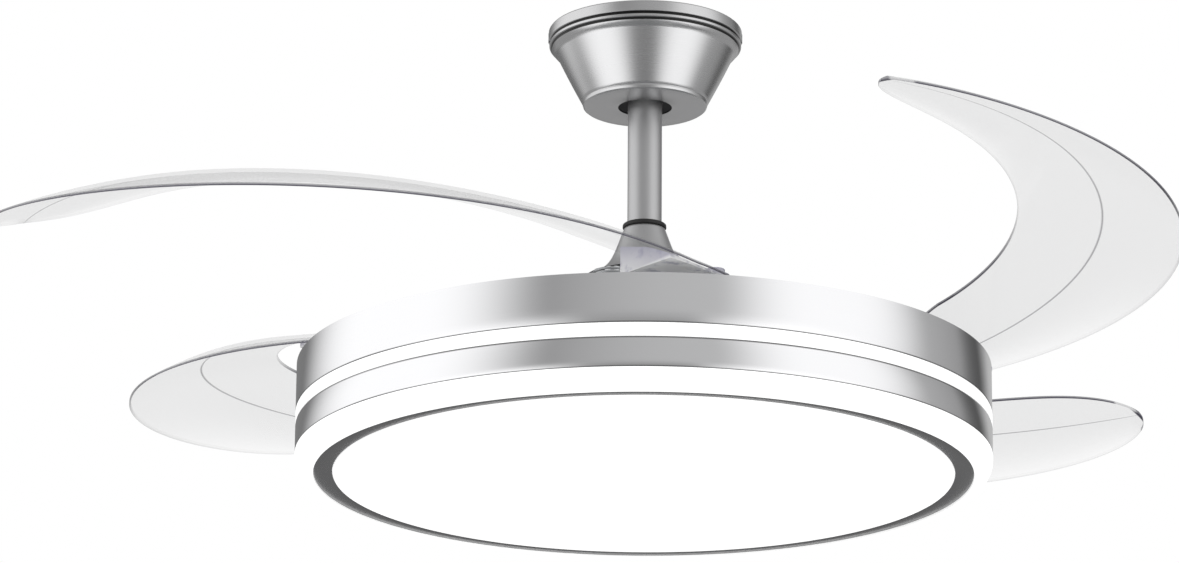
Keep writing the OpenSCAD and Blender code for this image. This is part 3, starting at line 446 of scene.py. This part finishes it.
def mark_band(bm):
    """Paints shade onto the rolled edges of a band."""
    groove = bm.verts.layers.float.new("groove")
    for v in bm.verts:
        r = math.hypot(v.co.x, v.co.y) / MM
        if FOLD_R - 0.1 < r < DRUM_R - 0.1 and v.co.z / MM < RIM - 30:
            v[groove] = 0.8


def rolled_edge(end):
    """The bottom edge of a band: eased outside and folded in."""
    return [(DRUM_R, end + 0.95), (DRUM_R - 0.3, end + 0.35), (DRUM_R - 0.9, end), (FOLD_R, end),
            (FOLD_R, end + FOLD_T), (SHEET_R, end + FOLD_T)]


turned("band_upper",
       [(DRUM_R, 0.0), *rolled_edge(UPPER_END), (SHEET_R, -9.3), (FOLD_R, -9.3), (FOLD_R, -8),
        (SHEET_R, -8), (SHEET_R, 0.0)], "upper_band", steps=ROUND_STEPS, mark=mark_band)
turned("band_lower",
       [(DRUM_R - 0.6, LOWER_TOP), (DRUM_R - 0.2, LOWER_TOP - 0.55), (DRUM_R, LOWER_TOP - 1.55),
        *rolled_edge(LOWER_END), (SHEET_R, LOWER_TOP - 1.35), (FOLD_R, LOWER_TOP - 1.35),
        (FOLD_R, LOWER_TOP)], "lower_band", steps=ROUND_STEPS, mark=mark_band)
turned("ring_light",
       [(GLOW_R, GLOW_END), (DRUM_R - 0.3, GLOW_END), (DRUM_R, GLOW_END + 0.55), (DRUM_R, GLOW_TOP - 0.55),
        (DRUM_R - 0.3, GLOW_TOP), (GLOW_R, GLOW_TOP)], "light_ring", steps=ROUND_STEPS)


def outer_ring_outline():
    """White ring with a generous rounding below, hollow inside."""
    r, inner, wall = 11.6, TRIM_R + 0.3, 2.2
    cx, cz = DRUM_R - r, WHITE_END + r
    return ([(DRUM_R, WHITE_TOP)] + arc(cx, cz, r, range(0, -91, -6))
            + [(inner, WHITE_END), (inner, WHITE_TOP), (inner + wall, WHITE_TOP),
               (inner + wall, WHITE_END + wall)]
            + arc(cx, cz, r - wall, range(-90, 1, 15)) + [(DRUM_R - wall, WHITE_TOP)])


turned("ring_outer", outer_ring_outline(), "outer_ring", steps=ROUND_STEPS)
turned("ring_trim",
       [(TRIM_IN_R, -78.4), (TRIM_R, -78.4), (TRIM_R, -66.5), (TRIM_R - 0.9, -66.5), (TRIM_R - 0.9, -62.5),
        (TRIM_R - 2.7, -62.5), (TRIM_R - 2.7, -76.9), (TRIM_IN_R, -76.9)], "trim_ring", steps=ROUND_STEPS,
       round_edges=0.25)
turned("opal_diffuser",
       [(0, -79.3), (TRIM_IN_R - 1.5, -79.3), (TRIM_IN_R - 0.7, -79), (TRIM_IN_R - 0.3, -78.2),
        (TRIM_IN_R - 0.3, -76.85), (TRIM_R - 3, -76.85), (TRIM_R - 3, -74.35), (TRIM_IN_R - 2.3, -74.35),
        (TRIM_IN_R - 3.3, -76.8), (0, -76.8)], "diffuser", steps=ROUND_STEPS)

# ---------------------------------------------------------------- blades

CREASE_CENTRE, CREASE_R = (34.0, -187.1), 280.0
ROOT_AZIMUTH, TIP_AZIMUTH, TIP_SHARPNESS = 65.7, -64.5, 9.9
OUTER_W, INNER_W, ROOT_W, SWEEP = 55.7, 53.4, 9.9, math.radians(113.9)
ROOT_INNER_SHARE, INNER_SPREAD, INNER_GROWTH = 0.612, 0.2, 0.304
ROOT_Z, RISE, CLIMB_START, CLIMB_GAIN, CLIMB_BEND = 11.9, 75.4, 0.14, 1.66, 0.833
OUTER_FALL_ENDS, OUTER_FALL_MID = 0.354, 0.134
INNER_CLIMB_ROOT, INNER_CLIMB_TIP, INNER_CLIMB_MID = 0.268, 0.169, -0.024
BLADE_T, EDGE_T = 2.8, 1.8
OUTER_BOW, INNER_BOW = 1.6, 0.8      # how far the two parts bow up from flat at their middle
PIVOT = Vector((*arc(0, 0, 183.2, [-6.7])[0], 0)) * MM
OPENING = (0, 30.9, 7.6, -4.3)       # how much further open each blade stands than the first, in degrees


def step_up(x, low, high):
    u = min(1.0, max(0.0, (x - low) / (high - low)))
    return u * u * (3 - 2 * u)


def outer_width(s):
    return ROOT_W + (OUTER_W - ROOT_W) * math.sin(SWEEP * s) / math.sin(SWEEP)


def inner_width(s):
    share = ROOT_INNER_SHARE + (1 - ROOT_INNER_SHARE) * min(1.0, s / INNER_SPREAD)
    return share * INNER_W * (1 + INNER_GROWTH * s * s)


def blade_point(s, w):
    """Middle surface of the first blade at s along it and w millimetres outside its crease, above the rim."""
    climb = s * s / (s + CLIMB_START)
    middle = math.sin(math.pi * s)
    outer_fall = OUTER_FALL_ENDS + OUTER_FALL_MID * middle
    inner_climb = INNER_CLIMB_ROOT * (1 - s) + INNER_CLIMB_TIP * s + INNER_CLIMB_MID * middle
    near_root = min(1.0, 0.2 + 6 * s)       # both parts lie flatter there
    z = ROOT_Z + RISE * (CLIMB_GAIN * climb - CLIMB_BEND * climb * climb)
    z -= w * near_root * (outer_fall if w > 0 else inner_climb)
    azimuth = ROOT_AZIMUTH + (TIP_AZIMUTH - ROOT_AZIMUTH) * s
    return Vector((*arc(*CREASE_CENTRE, CREASE_R + w, [azimuth])[0], z))


def blade_mid(s, t):
    """The same at t across it, from its inner edge at -1 to its outer edge at 1, with both parts bowed."""
    tip = math.sqrt(max(0.0, 1 - s ** TIP_SHARPNESS))
    width, bow = (inner_width(s), INNER_BOW) if t < 0 else (outer_width(s), OUTER_BOW)
    p = blade_point(s, t * width * tip)
    p.z += 4 * bow * abs(t) * (1 - abs(t)) * tip
    return p


def blade_place(k):
    """From the first blade's place to the place of blade k: swung open on its pivot, then quarter turns."""
    opened = Matrix.Translation(PIVOT) @ Matrix.Rotation(math.radians(OPENING[k - 1]), 4, "Z")
    return Matrix.Rotation(math.radians(90 * (k - 1)), 4, "Z") @ opened @ Matrix.Translation(-PIVOT)


# places across the blade: close together at its edges and at its crease, where the thin lines of painted
# shade lie
ACROSS = ([-1, -0.992, -0.98] + [-0.9 + 0.1 * i for i in range(9)] + [-0.02, 0, 0.018]
          + [0.1 * i for i in range(1, 10)] + [0.97, 0.983, 1])
ALONG = 120
EDGE_FROM, TIP_FROM = 0.981, 0.997
LAST = 0.999            # the tip's own end has no width, so the sheet stops just short of it


def front_facing(place, s, t):
    """How far the blade's edge nearest to this point faces the fan's front, from -1 to 1."""
    side = 1 if t >= 0 else -1
    if s > 0.985:
        away = blade_mid(LAST, t) - blade_mid(0.95, 0.5 * t)
    else:
        along = blade_mid(s + 0.004, side) - blade_mid(max(0.0, s - 0.004), side)
        away = Vector((along.y, -along.x, 0))
        if away.dot(blade_mid(s, side) - blade_mid(s, 0)) < 0:
            away.negate()
    away.z = 0
    return -(place.to_3x3() @ away).normalized().y


def clear_sheet(bm, place, rim):
    """The thin crescent: a grid laid on the middle surface, then given its thickness downwards."""
    crease_shade = bm.verts.layers.float.new("crease_shade")
    painted_glare = bm.verts.layers.float.new("painted_glare")
    half = bm.verts.layers.float.new("half")
    rows = len(ACROSS) - 1
    for v in bmesh.ops.create_grid(bm, x_segments=ALONG, y_segments=rows, size=1.0)["verts"]:
        t = ACROSS[round((v.co.y + 1) / 2 * rows)]
        s = min(LAST, 1 - ((1 - v.co.x) / 2) ** 1.6)
        front = front_facing(place, s, t)
        # painted edge shade along the cut edges and tip, darkest where an edge faces the fan's front
        if abs(t) > EDGE_FROM or s > TIP_FROM:
            v[rim] = 0.10 + 0.90 * step_up(front, -0.15, 0.45)
        v[crease_shade] = 1.0 if t == 0 else 0.0
        # painted pale light: the sheet is made more see-through towards edges that face away from the fan's
        # front
        v[painted_glare] = 0.75 * step_up(-front, 0.0, 0.8) * (t ** 2 if t > 0 else t ** 6)
        v[half] = (EDGE_T + (BLADE_T - EDGE_T) * (1 - abs(t))) / 2 * MM
        v.co = place @ (blade_mid(s, t) * MM)
        v.co.z += RIM * MM + v[half]
    top = bm.verts[:]
    for v in bmesh.ops.extrude_face_region(bm, geom=bm.faces[:])["geom"]:
        if isinstance(v, bmesh.types.BMVert):
            v.co.z -= 2 * v[half]
    for v in top:           # the painted crease shade lies on the under side, so that it doesn't show twice
        v[crease_shade] = 0.0
        v[rim] *= 0.5


def rounded(points, r, steps=12):
    """The outline of a pad round these points."""
    out = []
    for i, (x, y) in enumerate(points):
        before, after = points[i - 1], points[(i + 1) % len(points)]
        into = math.degrees(math.atan2(y - before[1], x - before[0])) - 90
        away = math.degrees(math.atan2(after[1] - y, after[0] - x)) - 90
        out += arc(x, y, r, [into + (away - into) % 360 * j / steps for j in range(steps + 1)])
    return out


SPOTS = [blade_point(0.03, -10), blade_point(0.075, 6), blade_point(0.115, -14)]      # the three screws
ARM_TOP, PAD_R, PAD_H = 8.4, 9.5, 4.7
BLOCK_FROM, BLOCK_TO, BLOCK_STEPS, BLOCK_IN = 0.004, 0.168, 20, -30.0
BLOCK_CELLS = 8
BLOCK_OUTER_SHARE, BLOCK_INNER_SHARE = 0.88, 0.6      # how much of the blade's width it may take up
SHEET_BELOW = 1.5       # from the middle surface to a little under the sheet
COUNTERBORE_R, COUNTERBORE_H, BOSS_R, BOSS_H, SCREW_R = 4.2, 2.8, 6.5, 3.6, 2.1


def block_ring(s, place):
    """One cross-section of the wedge: up to the sheet above, flat just over the blade's arm below."""
    outer = BLOCK_OUTER_SHARE * outer_width(s)
    over = []
    for j in range(BLOCK_CELLS + 1):
        w = BLOCK_IN + (outer - BLOCK_IN) * j / BLOCK_CELLS
        p = blade_point(s, max(w, -BLOCK_INNER_SHARE * INNER_W))
        p.z = max(p.z - SHEET_BELOW, ARM_TOP + 1.0)
        over.append(p)
    under = [Vector((p.x, p.y, ARM_TOP + 0.1)) for p in (over[-1], over[0])]
    return [place @ (p * MM) + Vector((0, 0, RIM * MM)) for p in over + under]


def root_block(bm, place, rim):
    """The thick root: a filled wedge under the sheet, a rounded pad and three counterbored screw bosses."""
    sheet_faces = len(bm.faces)
    rings = [loop(bm, block_ring(BLOCK_FROM + (BLOCK_TO - BLOCK_FROM) * i / BLOCK_STEPS, place))
             for i in range(BLOCK_STEPS + 1)]
    for (_, a), (_, b) in zip(rings, rings[1:]):
        bmesh.ops.bridge_loops(bm, edges=a + b)
    for ring, _ in (rings[0], rings[-1]):
        bm.faces.new(ring)
    # painted shade along the wedge's outer end, the pad's top and the bosses' rims
    for v in rings[-1][0][:BLOCK_CELLS + 1]:
        v[rim] = 0.8
    outline = rounded([p.xy for p in reversed(SPOTS)], PAD_R)
    bottom = (RIM + ARM_TOP + 0.1) * MM
    pad = bm.faces.new([bm.verts.new(place @ Vector((x * MM, y * MM, bottom))) for x, y in outline])
    for v in bmesh.ops.extrude_face_region(bm, geom=[pad])["geom"]:
        if isinstance(v, bmesh.types.BMVert):
            v.co.z += PAD_H * MM
            v[rim] = 0.7
    for x, y, surface in SPOTS:
        low, high = ARM_TOP + 0.5, surface + BOSS_H
        deep = high - COUNTERBORE_H
        wall = [(COUNTERBORE_R, deep), (COUNTERBORE_R, high), (BOSS_R - 0.4, high), (BOSS_R, high - 0.4),
                (BOSS_R, low), (SCREW_R, low), (SCREW_R, deep)]
        ring, edges = loop(bm, [place @ Vector(((x + r) * MM, y * MM, (RIM + h) * MM)) for r, h in wall])
        for v in ring[1:4]:
            v[rim] = 0.8
        bmesh.ops.spin(bm, geom=ring + edges, axis=(0, 0, 1), cent=place @ Vector((x * MM, y * MM, 0)),
                       angle=math.tau, steps=40, use_merge=True)
    for face in list(bm.faces)[sheet_faces:]:
        face.material_index = 1


for k in range(1, 5):
    bm = bmesh.new()
    rim = bm.verts.layers.float.new("rim")
    clear_sheet(bm, blade_place(k), rim)
    root_block(bm, blade_place(k), rim)
    blade = settle(bm, f"clear_blade_{k}", [FINISH["clear_plastic"], block_finish], 40.0)
    blade.visible_glossy = False        # the bands mirror the studio and not the blades
    stand_for(blade, f"blade_{k}")

# ---------------------------------------------------------------- the rest of the CAD

replaced = {"canopy", "coupling_cover", "downrod", "rod_gasket", "upper_band", "lower_band", "light_ring",
            "outer_ring", "trim_ring", "diffuser", "blade_1", "blade_2", "blade_3", "blade_4"}
for node, carried in frame["nodes"].items():
    if node not in replaced:
        carried.data.materials.clear()
        carried.data.materials.append(FINISH[slot_of[node]])
smoothed("canopy_screws", widest=(CANOPY_R + 0.3) * MM)      # heads nearly flush with the flange
for node in ("rotor_top_cover", "rotor_bottom_cover", "hanger_ball", "pivot_pins",
             "blade_plate", "motor_yoke", "lamp_chassis",
             *[f"blade_arm_{k}" for k in range(1, 5)], *[f"return_spring_{k}" for k in range(1, 5)],
             *[f"blade_screws_{k}" for k in range(1, 5)]):
    smoothed(node)

# ---------------------------------------------------------------- camera

YAW, PITCH, ROLL = math.radians(-0.65), math.radians(16.76), math.radians(0.43)
CAMERA_SPOT = (0, -3.5, -1.24575)
FOCAL_PIXELS = 5041
FILM_WIDTH = 36.0

ahead = Vector((math.sin(YAW) * math.cos(PITCH), math.cos(YAW) * math.cos(PITCH), math.sin(PITCH)))
right = Vector((math.cos(YAW), -math.sin(YAW), 0))
up = right.cross(ahead)
right, up = right * math.cos(ROLL) + up * math.sin(ROLL), up * math.cos(ROLL) - right * math.sin(ROLL)
lens = bpy.data.cameras.new("camera")
lens.sensor_width = FILM_WIDTH
lens.lens = FOCAL_PIXELS / PHOTO_WIDTH * FILM_WIDTH
lens.clip_end = 60.0
camera = bpy.data.objects.new("camera", lens)
camera.matrix_world = Matrix.Translation(CAMERA_SPOT) @ Matrix((right, up, -ahead)).transposed().to_4x4()
bpy.context.scene.collection.objects.link(camera)
bpy.context.scene.camera = camera

# ---------------------------------------------------------------- floor, world and lamps

FLOOR_Z, FLOOR_SIZE = -2.4, 7.0

bm = bmesh.new()
bmesh.ops.create_grid(bm, x_segments=1, y_segments=1, size=FLOOR_SIZE)
bmesh.ops.translate(bm, verts=bm.verts[:], vec=(0, 0, FLOOR_Z))
m = material("pale floor")
speck = m.noise(m.place(), 30.0, 3.0)
floor = settle(bm, "floor", [m.surface(Base_Color=m.mix(speck, 0.80, 0.83), Roughness=0.9)])
floor.visible_glossy = False

world = bpy.data.worlds.new("studio")
bpy.context.scene.world = world
w = Shader(world)
wx = w.add("ShaderNodeSeparateXYZ", None, {0: w.add("ShaderNodeTexCoord", out="Generated")})
wy, wz = wx.other("Y"), wx.other("Z")
level_part = w.math("MAXIMUM", wx * wx + wy * wy, 0.0001) ** 0.5


def studio(room, boxes):
    """A room's plain tone and soft boxes, each of an azimuth, a full width, a soft width and a strength."""
    tone = room
    for azimuth, full, soft, strength in boxes:
        a = math.radians(azimuth)
        near = (wx * math.cos(a) + wy * math.sin(a)) / level_part
        outer, inner = math.cos(math.radians(full + soft)), math.cos(math.radians(full))
        tone = tone + w.smooth(near, outer, inner) * strength
    return tone


# upright walls mirror two large boxes, a wide one in front, a narrow one and a black card
boxes = studio(0.22, [(181, 12, 49, 1.12), (-26, 0, 42, 0.69), (-45, 9, 106, 0.39), (70, 0, 20, 0.32),
                      (50, 0, 18, -0.17)])
# the canopy's tapering bell mirrors two boxes lower down and a dark gap between them
low_boxes = studio(0.48, [(-151, 0, 45, 1.28), (-34, 0, 43, 1.24), (-90, 0, 24, -0.15)])
UNDER, OVER = 0.10, 0.55        # straight below and high above
mirrored = w.mix(w.smooth(wz * -1.0, 0.05, 0.24), boxes, low_boxes)
mirrored = w.mix(w.smooth(wz * -1.0, 0.80, 0.93), mirrored, UNDER)
mirrored = w.mix(w.smooth(wz, 0.55, 0.85), mirrored, OVER)

# light on the object, what its metal mirrors, and plain white behind it and through its clear plastic
ray = w.add("ShaderNodeLightPath", out="Is Camera Ray")
tone = w.mix(ray.other("Is Glossy Ray"), 0.72, mirrored)
tone = w.mix(w.math("MAXIMUM", ray, ray.other("Is Transmission Ray")), tone, 1.0)
w.finish(w.add("ShaderNodeBackground", None, {"Color": tone, "Strength": 1.0}), "ShaderNodeOutputWorld")

AIM = Vector((0, 0, -0.3))


def soft_lamp(name, spot, size, power):
    lamp = bpy.data.lights.new(name, "AREA")
    lamp.shape = "DISK"
    lamp.size = size
    lamp.energy = power
    holder = bpy.data.objects.new(name, lamp)
    holder.location = spot
    holder.rotation_euler = (AIM - Vector(spot)).to_track_quat("-Z", "Y").to_euler()
    holder.visible_glossy = False
    bpy.context.scene.collection.objects.link(holder)


soft_lamp("key", (-1.6, -2.4, 2.2), 1.8, 42)
soft_lamp("fill", (2.4, -2.2, -1.6), 2.0, 16)

bpy.context.scene.view_settings.view_transform = "Standard"
